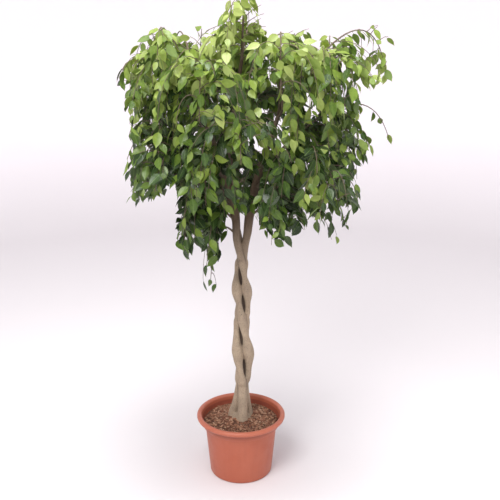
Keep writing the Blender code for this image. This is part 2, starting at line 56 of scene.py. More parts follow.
# Pot
# A nursery pot moulded in one piece of satin terracotta-coloured plastic: a tapered wall with a rounded
# foot, a stepped collar and a rolled rim. Four drain holes go through its floor.
POT_HEIGHT = 0.250
POT_FOOT_RADIUS = 0.1250
POT_FOOT_ROUNDING = 0.008
POT_WALL = 0.003
POT_FLOOR = 0.004
POT_SHOULDER_HEIGHT = 0.201
POT_SHOULDER_RADIUS = 0.1430
COLLAR_RADIUS = 0.1530
COLLAR_TOP_RADIUS = 0.1598
COLLAR_STEP = 0.004
RIM_ROLL_RADIUS = 0.0100
RIM_OUTER_RADIUS = 0.1765
POT_STEPS = 96
DRAIN_HOLES = 4
DRAIN_HOLE_RADIUS = 0.006
DRAIN_CIRCLE_RADIUS = 0.092
TERRACOTTA = (0.395, 0.095, 0.046)
TERRACOTTA_PALE = (0.480, 0.148, 0.086)
# Colour of the pot's drips and specks, and of the shadow painted under the rim.
TERRACOTTA_STAIN_AND_SHADE = (0.250, 0.060, 0.035)
WELD = 0.00001


def arc(centre, radius, first, last, steps):
    """Points (radius, height) of an arc round a centre, between two angles in degrees."""
    angles = [radians(first + (last - first) * step / steps) for step in range(steps + 1)]
    return [(centre[0] + radius * cos(angle), centre[1] + radius * sin(angle)) for angle in angles]


def turned(profile, steps):
    """A turned shape: a profile of (radius, height) points spun round the plant's axis."""
    bm = bmesh.new()
    points = [bm.verts.new((radius, 0.0, height)) for radius, height in profile]
    edges = [bm.edges.new(pair) for pair in zip(points, points[1:])]
    bmesh.ops.spin(
        bm, geom=points + edges, cent=(0, 0, 0), axis=(0, 0, 1), angle=tau, steps=steps, use_merge=True
    )
    bmesh.ops.remove_doubles(bm, verts=bm.verts, dist=WELD)
    bmesh.ops.recalc_face_normals(bm, faces=bm.faces)
    return bm


def add_piece(name, bm, material, sharp=35):
    """A finished piece of the plant from a bmesh, shaded smooth up to an angle in degrees."""
    mesh = bpy.data.meshes.new(name)
    bm.to_mesh(mesh)
    bm.free()
    mesh.shade_smooth()
    mesh.set_sharp_from_angle(angle=radians(sharp))
    piece = bpy.data.objects.new(name, mesh)
    bpy.context.scene.collection.objects.link(piece)
    mesh.materials.append(material)
    return piece


def as_evaluated(piece):
    """Replace a piece's mesh by what its modifiers make of it."""
    bpy.context.view_layer.update()
    mesh = bpy.data.meshes.new_from_object(piece.evaluated_get(bpy.context.evaluated_depsgraph_get()))
    piece.modifiers.clear()
    piece.data = mesh
    return piece


def pot_wall_radius(height):
    """Outer radius of the pot's tapered wall."""
    share = (height - POT_FOOT_ROUNDING) / (POT_SHOULDER_HEIGHT - POT_FOOT_ROUNDING)
    return POT_FOOT_RADIUS + (POT_SHOULDER_RADIUS - POT_FOOT_RADIUS) * share


def set_inputs(tree, node, values):
    """Fill a node's inputs from a dict of names or numbers: a socket is linked, anything else is a value."""
    for key, value in values.items():
        if isinstance(value, bpy.types.NodeSocket):
            tree.links.new(value, node.inputs[key])
        else:
            node.inputs[key].default_value = value
    return node


def add_node(tree, kind, values=None, **settings):
    node = tree.nodes.new("ShaderNode" + kind)
    for name, value in settings.items():
        setattr(node, name, value)
    return set_inputs(tree, node, values or {})


def calc(tree, operation, a, b=0.5):
    return add_node(tree, "Math", {0: a, 1: b}, operation=operation, use_clamp=False).outputs[0]


def stretch(tree, vector, scale):
    return add_node(tree, "Mapping", {"Vector": vector, "Scale": scale}).outputs["Vector"]


def rescale(tree, value, low, high, to_low=0.0, to_high=1.0):
    ends = {"Value": value, "From Min": low, "From Max": high, "To Min": to_low, "To Max": to_high}
    return add_node(tree, "MapRange", ends).outputs["Result"]


def dye(tree, factor, first, second, kind="MIX"):
    """Mix two colours, each a colour or a socket."""
    colours = {0: factor, 6: first, 7: second}
    for key in (6, 7):
        if isinstance(colours[key], tuple):
            colours[key] = (*colours[key], 1.0)
    return add_node(tree, "Mix", colours, data_type="RGBA", blend_type=kind).outputs[2]


def ramp(tree, factor, stops):
    """A colour ramp through (place, colour) stops."""
    node = add_node(tree, "ValToRGB", {"Fac": factor})
    elements = node.color_ramp.elements
    while len(elements) < len(stops):
        elements.new(1.0)
    for element, (place, colour) in zip(elements, stops):
        element.position = place
        element.color = (*colour, 1.0)
    return node.outputs["Color"]


def new_finish(name, roughness):
    """A material with its node tree and Principled shader."""
    material = bpy.data.materials.new(name)
    material.use_nodes = True
    tree = material.node_tree
    shader = tree.nodes["Principled BSDF"]
    shader.inputs["Roughness"].default_value = roughness
    return material, tree, shader


def make_mottle():
    """Node group: cloudy noise, spread between two values. Used by every finish on the plant."""
    group = bpy.data.node_groups.new("mottle", "ShaderNodeTree")
    face = group.interface
    face.new_socket("Vector", in_out="INPUT", socket_type="NodeSocketVector")
    for name, value in (("Scale", 40.0), ("Detail", 3.0), ("Low", 0.0), ("High", 1.0)):
        face.new_socket(name, in_out="INPUT", socket_type="NodeSocketFloat").default_value = value
    face.new_socket("Value", in_out="OUTPUT", socket_type="NodeSocketFloat")
    start = group.nodes.new("NodeGroupInput").outputs
    cloud = add_node(
        group, "TexNoise", {"Vector": start["Vector"], "Scale": start["Scale"], "Detail": start["Detail"]}
    )
    spread = rescale(group, cloud.outputs["Fac"], 0.3, 0.7, start["Low"], start["High"])
    group.links.new(spread, group.nodes.new("NodeGroupOutput").inputs["Value"])
    return group


mottle_group = make_mottle()


def mottle(tree, vector, scale, low=0.0, high=1.0, detail=3.0):
    node = tree.nodes.new("ShaderNodeGroup")
    node.node_tree = mottle_group
    set_inputs(tree, node, {"Vector": vector, "Scale": scale, "Detail": detail, "Low": low, "High": high})
    return node.outputs["Value"]


def object_place(tree):
    return add_node(tree, "TexCoord").outputs["Object"]


def relief(tree, shader, height, strength, distance):
    bump = add_node(tree, "Bump", {"Height": height, "Strength": strength, "Distance": distance})
    tree.links.new(bump.outputs["Normal"], shader.inputs["Normal"])


def make_pot_finish():
    material, tree, shader = new_finish("terracotta_plastic", 0.45)
    place = object_place(tree)
    clouds = mottle(tree, place, 9.0)
    specks = mottle(tree, place, 240.0, detail=2.0)
    height = add_node(tree, "SeparateXYZ", {"Vector": place}).outputs["Z"]
    colour = dye(tree, calc(tree, "MULTIPLY", clouds, 0.35), TERRACOTTA, TERRACOTTA_PALE)
    # The rolled rim is painted paler towards its top.
    paler_rim_top = calc(tree, "MULTIPLY", rescale(tree, height, 0.226, 0.248), 0.55)
    colour = dye(tree, paler_rim_top, colour, TERRACOTTA_PALE)
    # Painted shadow: a darker band is painted on the collar just under the rolled rim, where the rim shades
    # the wall.
    below_roll = rescale(tree, height, 0.229, 0.231, 1.0, 0.0)
    painted_rim_shadow = calc(tree, "MULTIPLY", rescale(tree, height, 0.206, 0.220), below_roll)
    colour = dye(tree, calc(tree, "MULTIPLY", painted_rim_shadow, 0.85), colour, TERRACOTTA_STAIN_AND_SHADE)
    drips = mottle(tree, stretch(tree, place, (1.0, 1.0, 0.08)), 50.0, -0.12, 0.12)
    colour = dye(tree, drips, colour, TERRACOTTA_STAIN_AND_SHADE)
    colour = dye(tree, calc(tree, "MULTIPLY", specks, 0.10), colour, TERRACOTTA_STAIN_AND_SHADE)
    tree.links.new(colour, shader.inputs["Base Color"])
    tree.links.new(mottle(tree, place, 30.0, 0.36, 0.54), shader.inputs["Roughness"])
    relief(tree, shader, specks, 0.12, 0.0004)
    return material


inner_floor = pot_wall_radius(POT_FOOT_ROUNDING) - POT_WALL
roll_centre = (RIM_OUTER_RADIUS - RIM_ROLL_RADIUS, POT_HEIGHT - RIM_ROLL_RADIUS)
FILLET = 0.0015
pot_profile = [(0.0, POT_FLOOR)]
pot_profile += arc((inner_floor - POT_FLOOR, 2 * POT_FLOOR), POT_FLOOR, -90, 0, 4)
pot_profile += [
    (POT_SHOULDER_RADIUS - POT_WALL, POT_SHOULDER_HEIGHT + COLLAR_STEP / 2),
    (COLLAR_RADIUS - POT_WALL, POT_SHOULDER_HEIGHT + 2 * COLLAR_STEP),
]
pot_profile += arc(roll_centre, RIM_ROLL_RADIUS, 195, -78, 22)
collar_top = (COLLAR_TOP_RADIUS + FILLET, POT_HEIGHT - 2 * RIM_ROLL_RADIUS - FILLET)
pot_profile += arc(collar_top, FILLET, 90, 180, 3)
pot_profile += arc((COLLAR_RADIUS - 2 * FILLET, POT_SHOULDER_HEIGHT + COLLAR_STEP), 2 * FILLET, 0, -70, 4)
pot_profile += [(POT_SHOULDER_RADIUS + FILLET / 4, POT_SHOULDER_HEIGHT)]
pot_profile += [(pot_wall_radius(height / 100), height / 100) for height in (18, 14, 10, 6, 2)]
pot_profile += arc((POT_FOOT_RADIUS - POT_FOOT_ROUNDING, POT_FOOT_ROUNDING), POT_FOOT_ROUNDING, 0, -90, 6)
pot_profile += [(0.0, 0.0)]
pot = add_piece("nursery_pot", turned(pot_profile, POT_STEPS), make_pot_finish())
drill = bmesh.new()
for number in range(DRAIN_HOLES):
    angle = tau * number / DRAIN_HOLES
    centre = Vector((DRAIN_CIRCLE_RADIUS * cos(angle), DRAIN_CIRCLE_RADIUS * sin(angle), 0.0))
    bmesh.ops.create_cone(
        drill, cap_ends=True, segments=24, radius1=DRAIN_HOLE_RADIUS, radius2=DRAIN_HOLE_RADIUS,
        depth=4 * POT_FLOOR, matrix=Matrix.Translation(centre),
    )
drill = add_piece("drain_drill", drill, pot.data.materials[0])
holes = pot.modifiers.new("drain_holes", "BOOLEAN")
holes.operation = "DIFFERENCE"
holes.object = drill
as_evaluated(pot)
pot.data.set_sharp_from_angle(angle=radians(35))
bpy.data.objects.remove(drill, do_unlink=True)
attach(pot, "root")
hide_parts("pot")

# Soil
# Potting soil fills the pot to about 4 cm under the rim. It is covered with shredded bark and coco
# fibre, with a few pale straws among the chips, and it lies loose round the root crown.
SOIL_EDGE_HEIGHT = 0.2125
SOIL_MOUND = 0.020
SOIL_CLEARANCE = 0.00033
SOIL_EDGE_RADIUS = COLLAR_RADIUS - POT_WALL - SOIL_CLEARANCE
CROWN_DEPTH = 0.155
CROWN_HOLE_RADIUS = 0.0598
SOIL_RINGS = 40
SOIL_NEAREST = 0.022
CHIPS = 2100
CHIP_SIZES = (0.0030, 0.0120)
STRAWS = 420
STRAW_LENGTHS = (0.010, 0.030)
STRAW_RADIUS = 0.0005
SOIL_DARK = (0.045, 0.020, 0.012)
BARK_CHIP_RED = (0.190, 0.072, 0.038)
BARK_CHIP_TAN = (0.330, 0.165, 0.095)
STRAW_PALE = (0.620, 0.440, 0.290)


def soil_lump(x, y):
    """Height of the soil's lumps over its even surface."""
    coarse = noise.noise(Vector((x * 45, y * 45, 0.3)))
    return 0.0022 * coarse + 0.0012 * noise.noise(Vector((x * 130, y * 130, 1.7)))


def soil_height(x, y):
    share = (Vector((x, y)).length - CROWN_HOLE_RADIUS) / (SOIL_EDGE_RADIUS - CROWN_HOLE_RADIUS)
    return SOIL_EDGE_HEIGHT + SOIL_MOUND * (1 - max(0.0, share) ** 0.8) + soil_lump(x, y)


def add_copy(bm, shape, place, tones):
    """Add a copy of a shape to a mesh in the making, with its own value of each named tone."""
    copy = shape.copy()
    copy.transform(place)
    for name, value in tones.items():
        copy.attributes[name].data.foreach_set("value", [value] * len(copy.vertices))
    bm.from_mesh(copy)
    bpy.data.meshes.remove(copy)


def to_shape(bm, name, tones):
    """Keep a bmesh as a shape to copy, ready to hold the named tones."""
    shape = bpy.data.meshes.new(name)
    bm.to_mesh(shape)
    bm.free()
    for tone in tones:
        shape.attributes.new(tone, "FLOAT", "POINT")
    return shape


def chip_shape(number):
    draw = random.Random(300 + number)
    bm = bmesh.new()
    bmesh.ops.create_icosphere(bm, subdivisions=1, radius=1.0)
    for vertex in bm.verts:
        vertex.co *= draw.uniform(0.7, 1.2)
        vertex.co.y *= 0.55
        vertex.co.z *= 0.30
    return to_shape(bm, f"chip_{number}", ["tone"])


def straw_shape(number):
    draw = random.Random(400 + number)
    bm = bmesh.new()
    bmesh.ops.create_cone(bm, cap_ends=True, segments=3, radius1=1.0, radius2=0.7, depth=1.0)
    rods = [edge for edge in bm.edges if abs(edge.verts[0].co.z - edge.verts[1].co.z) > 0.5]
    bmesh.ops.subdivide_edges(bm, edges=rods, cuts=3)
    bend = draw.uniform(0.1, 0.35)
    for vertex in bm.verts:
        along = vertex.co.z
        vertex.co = Vector((along, vertex.co.y * STRAW_RADIUS, vertex.co.x * STRAW_RADIUS))
        vertex.co.y += bend * (0.25 - along * along)
    return to_shape(bm, f"straw_{number}", ["tone"])


def make_soil_finish():
    material, tree, shader = new_finish("bark_mulch", 0.85)
    place = object_place(tree)
    tone = add_node(tree, "Attribute", attribute_name="tone").outputs["Fac"]
    tone = calc(tree, "ADD", tone, mottle(tree, place, 320.0, -0.10, 0.10))
    colour = ramp(tree, tone, (
        (0.0, SOIL_DARK), (0.38, BARK_CHIP_RED), (0.68, BARK_CHIP_TAN), (0.95, STRAW_PALE),
    ))
    tree.links.new(colour, shader.inputs["Base Color"])
    relief(tree, shader, mottle(tree, place, 700.0), 0.5, 0.0008)
    return material


soil_profile = []
for ring in range(SOIL_RINGS + 1):
    soil_profile.append((SOIL_EDGE_RADIUS * ring / SOIL_RINGS, SOIL_EDGE_HEIGHT))
soil_profile += [
    (SOIL_EDGE_RADIUS, POT_SHOULDER_HEIGHT + 2 * COLLAR_STEP),
    (POT_SHOULDER_RADIUS - POT_WALL - SOIL_CLEARANCE, POT_SHOULDER_HEIGHT + COLLAR_STEP / 2),
    (inner_floor - SOIL_CLEARANCE, 2 * POT_FLOOR),
    (inner_floor - POT_FLOOR, POT_FLOOR + SOIL_CLEARANCE),
    (0.0, POT_FLOOR + SOIL_CLEARANCE),
]
soil_body = turned(soil_profile, POT_STEPS)
for vertex in soil_body.verts:
    if vertex.co.z > SOIL_EDGE_HEIGHT - WELD:
        vertex.co.z = soil_height(vertex.co.x, vertex.co.y)
soil_shape = to_shape(soil_body, "soil_body", ["tone"])
soil_mesh = bmesh.new()
add_copy(soil_mesh, soil_shape, Matrix.Identity(4), {"tone": 0.12})
chips = [chip_shape(number) for number in range(6)]
straws = [straw_shape(number) for number in range(4)]
draw = random.Random(11)


def loose_place(reach):
    """A random place on the soil, between the root crown and the pot's wall, as (x, y)."""
    radius = draw.uniform(SOIL_NEAREST ** 2, (SOIL_EDGE_RADIUS - reach) ** 2) ** 0.5
    angle = draw.uniform(0, tau)
    return radius * cos(angle), radius * sin(angle)


for number in range(CHIPS):
    size = draw.uniform(*CHIP_SIZES) * draw.uniform(0.6, 1.0)
    x, y = loose_place(0.8 * size)
    turn = Matrix.Rotation(draw.uniform(0, tau), 4, "Z")
    tilt = Matrix.Rotation(draw.uniform(-0.5, 0.5), 4, "X") @ Matrix.Rotation(draw.uniform(-0.4, 0.4), 4, "Y")
    lift = Vector((x, y, soil_height(x, y) + draw.uniform(-0.0005, 0.0030)))
    place = Matrix.Translation(lift) @ turn @ tilt @ Matrix.Scale(size, 4)
    add_copy(soil_mesh, draw.choice(chips), place, {"tone": draw.uniform(0.15, 0.80)})
for number in range(STRAWS):
    length = draw.uniform(*STRAW_LENGTHS)
    x, y = loose_place(0.55 * length)
    turn = Matrix.Rotation(draw.uniform(0, tau), 4, "Z") @ Matrix.Rotation(draw.uniform(-0.25, 0.25), 4, "Y")
    lift = Vector((x, y, soil_height(x, y) + draw.uniform(0.0015, 0.0045)))
    place = Matrix.Translation(lift) @ turn @ Matrix.Diagonal((length, length, 1.0, 1.0))
    add_copy(soil_mesh, draw.choice(straws), place, {"tone": draw.uniform(0.55, 1.0)})
soil = add_piece("bark_mulch_soil", soil_mesh, make_soil_finish(), 50)
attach(soil, "root")
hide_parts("soil")

# Trunk
# Three young stems were wound round each other and grew together at the knots. Each goes on above the
# braid as a limb. Their feet join in a root crown that sits in the soil. The bark is smooth and grey-tan.
STEMS = 3
KNOTS = ((0.378, 0.0100, 0.0165), (0.653, 0.0100, 0.0160), (0.885, 0.0080, 0.0135))
BULGES = ((0.0152, 0.0060, 0.0035), (0.0135, 0.0050, 0.0))
BULGE_FULLNESS = 0.4
SLOT_DEPTH = 0.0072
SLOT_REACH = 0.0165
SLOT_SOFTNESS = 0.0040
BRAID_CENTRE_X = 0.0055
CORE_RADIUS = 0.0100
CORE_HEIGHTS = (0.240, 0.378, 0.450, 0.515, 0.580, 0.653, 0.885)
FOOT_OFFSET = 0.0362
FOOT_STEM_RADIUS = 0.0205
FOOT_HEIGHT = 0.215
FOOT_SPREAD_POWER = 1.25
FOOT_LEAN_HEIGHT = 0.12
UNTWIST_LENGTH = 0.02
FRONT = radians(270)
RING_SPACING = 0.006
LIMB_STEPS = 14
CROWN_RADIUS = 0.0585
CROWN_RIM_HEIGHT = 0.218
CROWN_FLARE = ((0.0460, 0.224), (0.0360, 0.234), (0.0240, 0.250))
VOXEL = 0.0026
LIMBS = {
    "left": (
        (-0.0100, -0.0100, 0.950, 0.0140),
        (-0.0140, -0.0150, 1.000, 0.0155),
        (-0.0210, -0.0200, 1.090, 0.0160),
        (-0.0560, -0.0340, 1.220, 0.0130),
        (-0.1050, -0.0460, 1.360, 0.0100),
        (-0.1500, -0.0500, 1.480, 0.0070),
    ),
    "right": (
        (0.0190, -0.0020, 0.950, 0.0140),
        (0.0275, -0.0060, 1.000, 0.0165),
        (0.0390, -0.0100, 1.090, 0.0175),
        (0.0690, -0.0120, 1.220, 0.0140),
        (0.1150, 0.0000, 1.360, 0.0105),
        (0.1620, 0.0180, 1.480, 0.0070),
    ),
    "back": (
        (-0.0010, 0.0150, 0.950, 0.0120),
        (-0.0120, 0.0250, 1.000, 0.0125),
        (-0.0340, 0.0420, 1.110, 0.0135),
        (-0.0380, 0.0640, 1.300, 0.0115),
        (-0.0140, 0.0680, 1.480, 0.0085),
        (0.0100, 0.0500, 1.640, 0.0055),
    ),
}
LIMB_STEM = {"left": 0, "right": 1, "back": 2}
ROOT_FLARE = 0.0045
ROOT_FLARE_HEIGHT = 0.300
BARK_TAN = (0.450, 0.345, 0.240)
BARK_GREY = (0.300, 0.235, 0.165)
# Colour of the bark's lenticel specks and of the shade painted into its creases.
BARK_LENTICEL_AND_SHADE = (0.036, 0.021, 0.012)
BARK_CANOPY_SHADE_BROWN = (0.098, 0.061, 0.032)


def braid_place(stem, height):
    """Centre and radius of a braided stem at a height: x, y, z, radius."""
    lowest = KNOTS[0]
    part = 0 if height < KNOTS[1][0] else 1
    low, high = KNOTS[part:part + 2]
    share = (height - low[0]) / (high[0] - low[0])
    sway = 0.0
    if height > lowest[0]:
        turns = (STEMS - 1 - part - share) / STEMS
        bulge_offset, bulge_radius, bulge_sway = BULGES[part]
        wave = max(0.0, sin(pi * share))
        offset = low[1] + (high[1] - low[1]) * share + bulge_offset * wave ** BULGE_FULLNESS
        radius = low[2] + (high[2] - low[2]) * share + bulge_radius * wave
        radius -= SLOT_DEPTH * sin(tau * share) ** 2
        sway = bulge_sway * wave
    else:
        below = lowest[0] - height
        untwist = UNTWIST_LENGTH * (1 - exp(-below / UNTWIST_LENGTH))
        turns = (STEMS - 1 + untwist / (high[0] - low[0])) / STEMS
        spread = (below / (lowest[0] - FOOT_HEIGHT)) ** FOOT_SPREAD_POWER
        offset = lowest[1] + (FOOT_OFFSET - lowest[1]) * spread
        radius = lowest[2] + (FOOT_STEM_RADIUS - lowest[2]) * spread
    angle = FRONT + tau * (stem / STEMS + turns)
    centre = BRAID_CENTRE_X * min(1.0, max(0.0, (height - FOOT_HEIGHT) / FOOT_LEAN_HEIGHT)) + sway
    return Vector((centre + offset * cos(angle), offset * sin(angle), height, radius))


def braid_middle(height):
    """The middle of the three braided stems at a height, where an inner core fills the braid."""
    return sum((braid_place(stem, height).to_3d() for stem in range(STEMS)), Vector()) / STEMS


def through_points(places, steps):
    """A smooth Catmull-Rom path through places, as vectors of any length."""
    path = []
    padded = [places[0] * 2 - places[1], *places, places[-1] * 2 - places[-2]]
    for a, b, c, d in zip(padded, padded[1:], padded[2:], padded[3:]):
        for step in range(steps):
            t = step / steps
            path.append(0.5 * (2 * b + (c - a) * t + (2 * a - 5 * b + 4 * c - d) * t * t
                               + (3 * b - a - 3 * c + d) * t ** 3))
    path.append(places[-1])
    return path


def limb_path(limb):
    """The whole stem of a limb, from its foot in the root crown to its end, as x, y, z, radius."""
    braid_height = KNOTS[-1][0] - FOOT_HEIGHT
    count = round(braid_height / RING_SPACING)
    heights = [FOOT_HEIGHT + braid_height * step / count for step in range(count + 1)]
    braid = [braid_place(LIMB_STEM[limb], height) for height in heights]
    return braid + through_points([braid[-1], *(Vector(place) for place in LIMBS[limb])], LIMB_STEPS)[1:]


def rods_mesh(name, rods, bevel_resolution):
    """One mesh of tapered rods with closed ends, each a list of (point, radius)."""
    curve = bpy.data.curves.new(name, "CURVE")
    curve.dimensions = "3D"
    curve.use_fill_caps = True
    curve.bevel_depth = 1.0
    curve.bevel_resolution = bevel_resolution
    for rod in rods:
        spline = curve.splines.new("POLY")
        spline.points.add(len(rod) - 1)
        for node, (point, radius) in zip(spline.points, rod):
            node.co = (*point, 1.0)
            node.radius = radius
    guide = bpy.data.objects.new(name, curve)
    bpy.context.scene.collection.objects.link(guide)
    bpy.context.view_layer.update()
    mesh = bpy.data.meshes.new_from_object(guide.evaluated_get(bpy.context.evaluated_depsgraph_get()))
    bpy.data.objects.remove(guide, do_unlink=True)
    return mesh


def make_bark_finish():
    material, tree, shader = new_finish("fig_bark", 0.72)
    place = object_place(tree)
    height = add_node(tree, "SeparateXYZ", {"Vector": place}).outputs["Z"]
    crease_shade = add_node(tree, "Attribute", attribute_name="crease_shade").outputs["Fac"]
    clouds = mottle(tree, place, 22.0, detail=5.0)
    streaks = mottle(tree, stretch(tree, place, (1.0, 1.0, 0.14)), 260.0, detail=4.0)
    colour = dye(tree, clouds, BARK_TAN, BARK_GREY)
    colour = dye(tree, calc(tree, "MULTIPLY", streaks, 0.40), colour, BARK_GREY)
    specks = rescale(tree, mottle(tree, stretch(tree, place, (1.0, 1.0, 0.5)), 420.0), 0.66, 1.0, 0.0, 0.6)
    colour = dye(tree, specks, colour, BARK_LENTICEL_AND_SHADE)
    # Painted shade: the bark is painted darker brown towards the crown, where the canopy shades it.
    colour = dye(tree, rescale(tree, height, 0.86, 1.05, 0.0, 0.94), colour, BARK_CANOPY_SHADE_BROWN)
    # Painted shade: the creases between the stems and the slots in the braid are painted dark.
    colour = dye(tree, calc(tree, "MULTIPLY", crease_shade, 0.95), colour, BARK_LENTICEL_AND_SHADE)
    tree.links.new(colour, shader.inputs["Base Color"])
    tree.links.new(mottle(tree, place, 60.0, 0.62, 0.84), shader.inputs["Roughness"])
    relief(tree, shader, calc(tree, "ADD", streaks, calc(tree, "MULTIPLY", specks, -0.8)), 0.9, 0.0022)
    return material


limb_paths = {limb: limb_path(limb) for limb in LIMBS}
stem_rods = [[(place.to_3d(), place.w) for place in path] for path in limb_paths.values()]
stem_rods.append([(braid_middle(height), CORE_RADIUS) for height in CORE_HEIGHTS])
crown_profile = [(0.0, CROWN_FLARE[-1][1]), *reversed(CROWN_FLARE), (CROWN_RADIUS, CROWN_RIM_HEIGHT)]
crown_profile += [(CROWN_RADIUS, CROWN_DEPTH + WELD), (0.0, CROWN_DEPTH + WELD)]
trunk_mesh = turned(crown_profile, 48)
trunk_mesh.from_mesh(rods_mesh("stems", stem_rods, 6))
bark_finish = make_bark_finish()
trunk = add_piece("braided_trunk", trunk_mesh, bark_finish)
fuse = trunk.modifiers.new("fuse", "REMESH")
fuse.mode = "VOXEL"
fuse.voxel_size = VOXEL
as_evaluated(trunk)
stem_tree = KDTree(sum(len(rod) for rod in stem_rods) * 1)
stem_points = []
for stem, rod in enumerate(stem_rods[:STEMS]):
    for point, radius in rod:
        stem_tree.insert(point, len(stem_points))
        stem_points.append((stem, point, radius))
stem_tree.balance()


def groove_depth(point):
    """How deep a place on the bark lies between two stems, from 0 on a stem's back to 1 in the crease."""
    gaps = {}
    for _, index, _ in stem_tree.find_n(point, 60):
        stem, centre, radius = stem_points[index]
        gaps[stem] = min(gaps.get(stem, 1.0), (point - centre).length - radius)
    beside = sorted(gaps.values())[1] if len(gaps) > 1 else 1.0
    crease = 0.75 - beside / 0.0065
    if point.z < KNOTS[-1][0]:
        crease = max(crease, (SLOT_REACH - (point - braid_middle(point.z)).length) / SLOT_SOFTNESS)
    return max(0.0, min(1.0, crease))


bark = bmesh.new()
bark.from_mesh(trunk.data)
for _ in range(3):
    bmesh.ops.smooth_vert(
        bark, verts=bark.verts, factor=0.5, use_axis_x=True, use_axis_y=True, use_axis_z=True
    )
bark.normal_update()
crease_shade_layer = bark.verts.layers.float.new("crease_shade")
for vertex in bark.verts:
    place = vertex.co.copy()
    swell = 0.0015 * noise.noise(Vector((place.x * 38, place.y * 38, place.z * 16)))
    ridges = 0.0008 * noise.noise(Vector((place.x * 150, place.y * 150, place.z * 26 + 5)))
    depth = groove_depth(place)
    # The crease depth is kept as an attribute that paints shade into the creases and slots.
    vertex[crease_shade_layer] = depth
    flare = (ROOT_FLARE_HEIGHT - place.z) / (ROOT_FLARE_HEIGHT - CROWN_RIM_HEIGHT)
    flare = ROOT_FLARE * max(0.0, min(1.0, flare))
    vertex.co += vertex.normal * ((swell + ridges) * (1 - 0.6 * depth) - 0.0009 * depth + flare * (1 - depth))
bark.to_mesh(trunk.data)
bark.free()
trunk.data.shade_smooth()
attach(trunk, "root")
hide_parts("trunk")

# Leafy branches
# Woody branches leave the three limbs, arch out and weep. Each carries thin side twigs, and from the twigs
# hang pointed leathery leaves on short stalks: dark and glossy when old, yellow-green when young.
LEAFY_BRANCHES = (
    ("back", 1.620, (0.020, 0.000, 1.820), 1.800),
    ("left", 1.470, (-0.110, -0.060, 1.770), 1.750),
    ("right", 1.460, (0.120, -0.030, 1.750), 1.730),
    ("back", 1.560, (0.050, 0.200, 1.640), 1.725),
    ("left", 1.450, (-0.300, -0.160, 1.550), 1.700),
    ("left", 1.475, (-0.405, 0.040, 1.460), 1.630),
    ("left", 1.430, (-0.260, 0.240, 1.540), 1.700),
    ("back", 1.440, (-0.060, 0.415, 1.440), 1.620),
    ("back", 1.460, (0.240, 0.320, 1.530), 1.700),
    ("right", 1.475, (0.530, 0.060, 1.570), 1.705),
    ("right", 1.400, (0.350, -0.210, 1.470), 1.620),
    ("right", 1.430, (0.130, -0.360, 1.520), 1.690),
    ("left", 1.330, (-0.120, -0.380, 1.440), 1.590),
    ("left", 1.190, (-0.410, -0.120, 1.220), 1.380),
    ("left", 1.290, (-0.350, 0.240, 1.330), 1.490),
    ("back", 1.200, (-0.160, 0.425, 1.190), 1.360),
    ("back", 1.280, (0.150, 0.430, 1.310), 1.480),
    ("right", 1.200, (0.400, 0.240, 1.200), 1.370),
    ("right", 1.230, (0.530, -0.050, 1.350), 1.450),
    ("right", 1.160, (0.330, -0.290, 1.150), 1.320),
    ("left", 1.190, (0.010, -0.400, 1.270), 1.430),
    ("left", 1.200, (-0.280, -0.310, 1.170), 1.350),
    ("left", 1.040, (-0.210, -0.120, 0.940), 1.120),
    ("left", 1.090, (-0.410, 0.060, 1.080), 1.210),
    ("back", 1.060, (-0.150, 0.280, 0.980), 1.160),
    ("back", 1.120, (0.130, 0.310, 1.020), 1.210),
    ("right", 1.050, (0.200, -0.130, 0.990), 1.130),
    ("right", 1.100, (0.400, 0.060, 1.010), 1.200),
    ("left", 0.985, (-0.110, -0.060, 0.830), 1.020),
)
BRANCH_ROOT_RADIUS = 0.0085
BRANCH_BASE_RADIUS = 0.0055
BRANCH_TIP_RADIUS = 0.0012
BRANCH_RINGS = 26
ARCH_START = 0.36
ARCH_RISE = 0.45
ARCH_FALL = 0.82
SIDE_TWIGS = 20
FIRST_SIDE_TWIG = 0.16
LAST_SIDE_TWIG = 0.97
SIDE_TWIG_LENGTHS = (0.34, 0.13)
SIDE_TWIG_RADII = (0.0015, 0.0007)
SIDE_TWIG_RINGS = 10
LEAF_LENGTH = 0.052
LEAF_WIDTH = 0.0275
LEAF_THICKNESS = 0.0004
LEAF_OUTLINE = ((0.0, 0.0), (0.10, 0.56), (0.28, 0.97), (0.48, 1.0), (0.70, 0.72), (0.88, 0.22), (1.0, 0.0))
STALK_LENGTH = 0.012
STALK_RADIUS = 0.0006
LEAF_SHAPES = 8
LEAF_SPACING = 0.0155
LEAF_SIZES = (0.60, 1.12)
LEAF_SEED = 1000
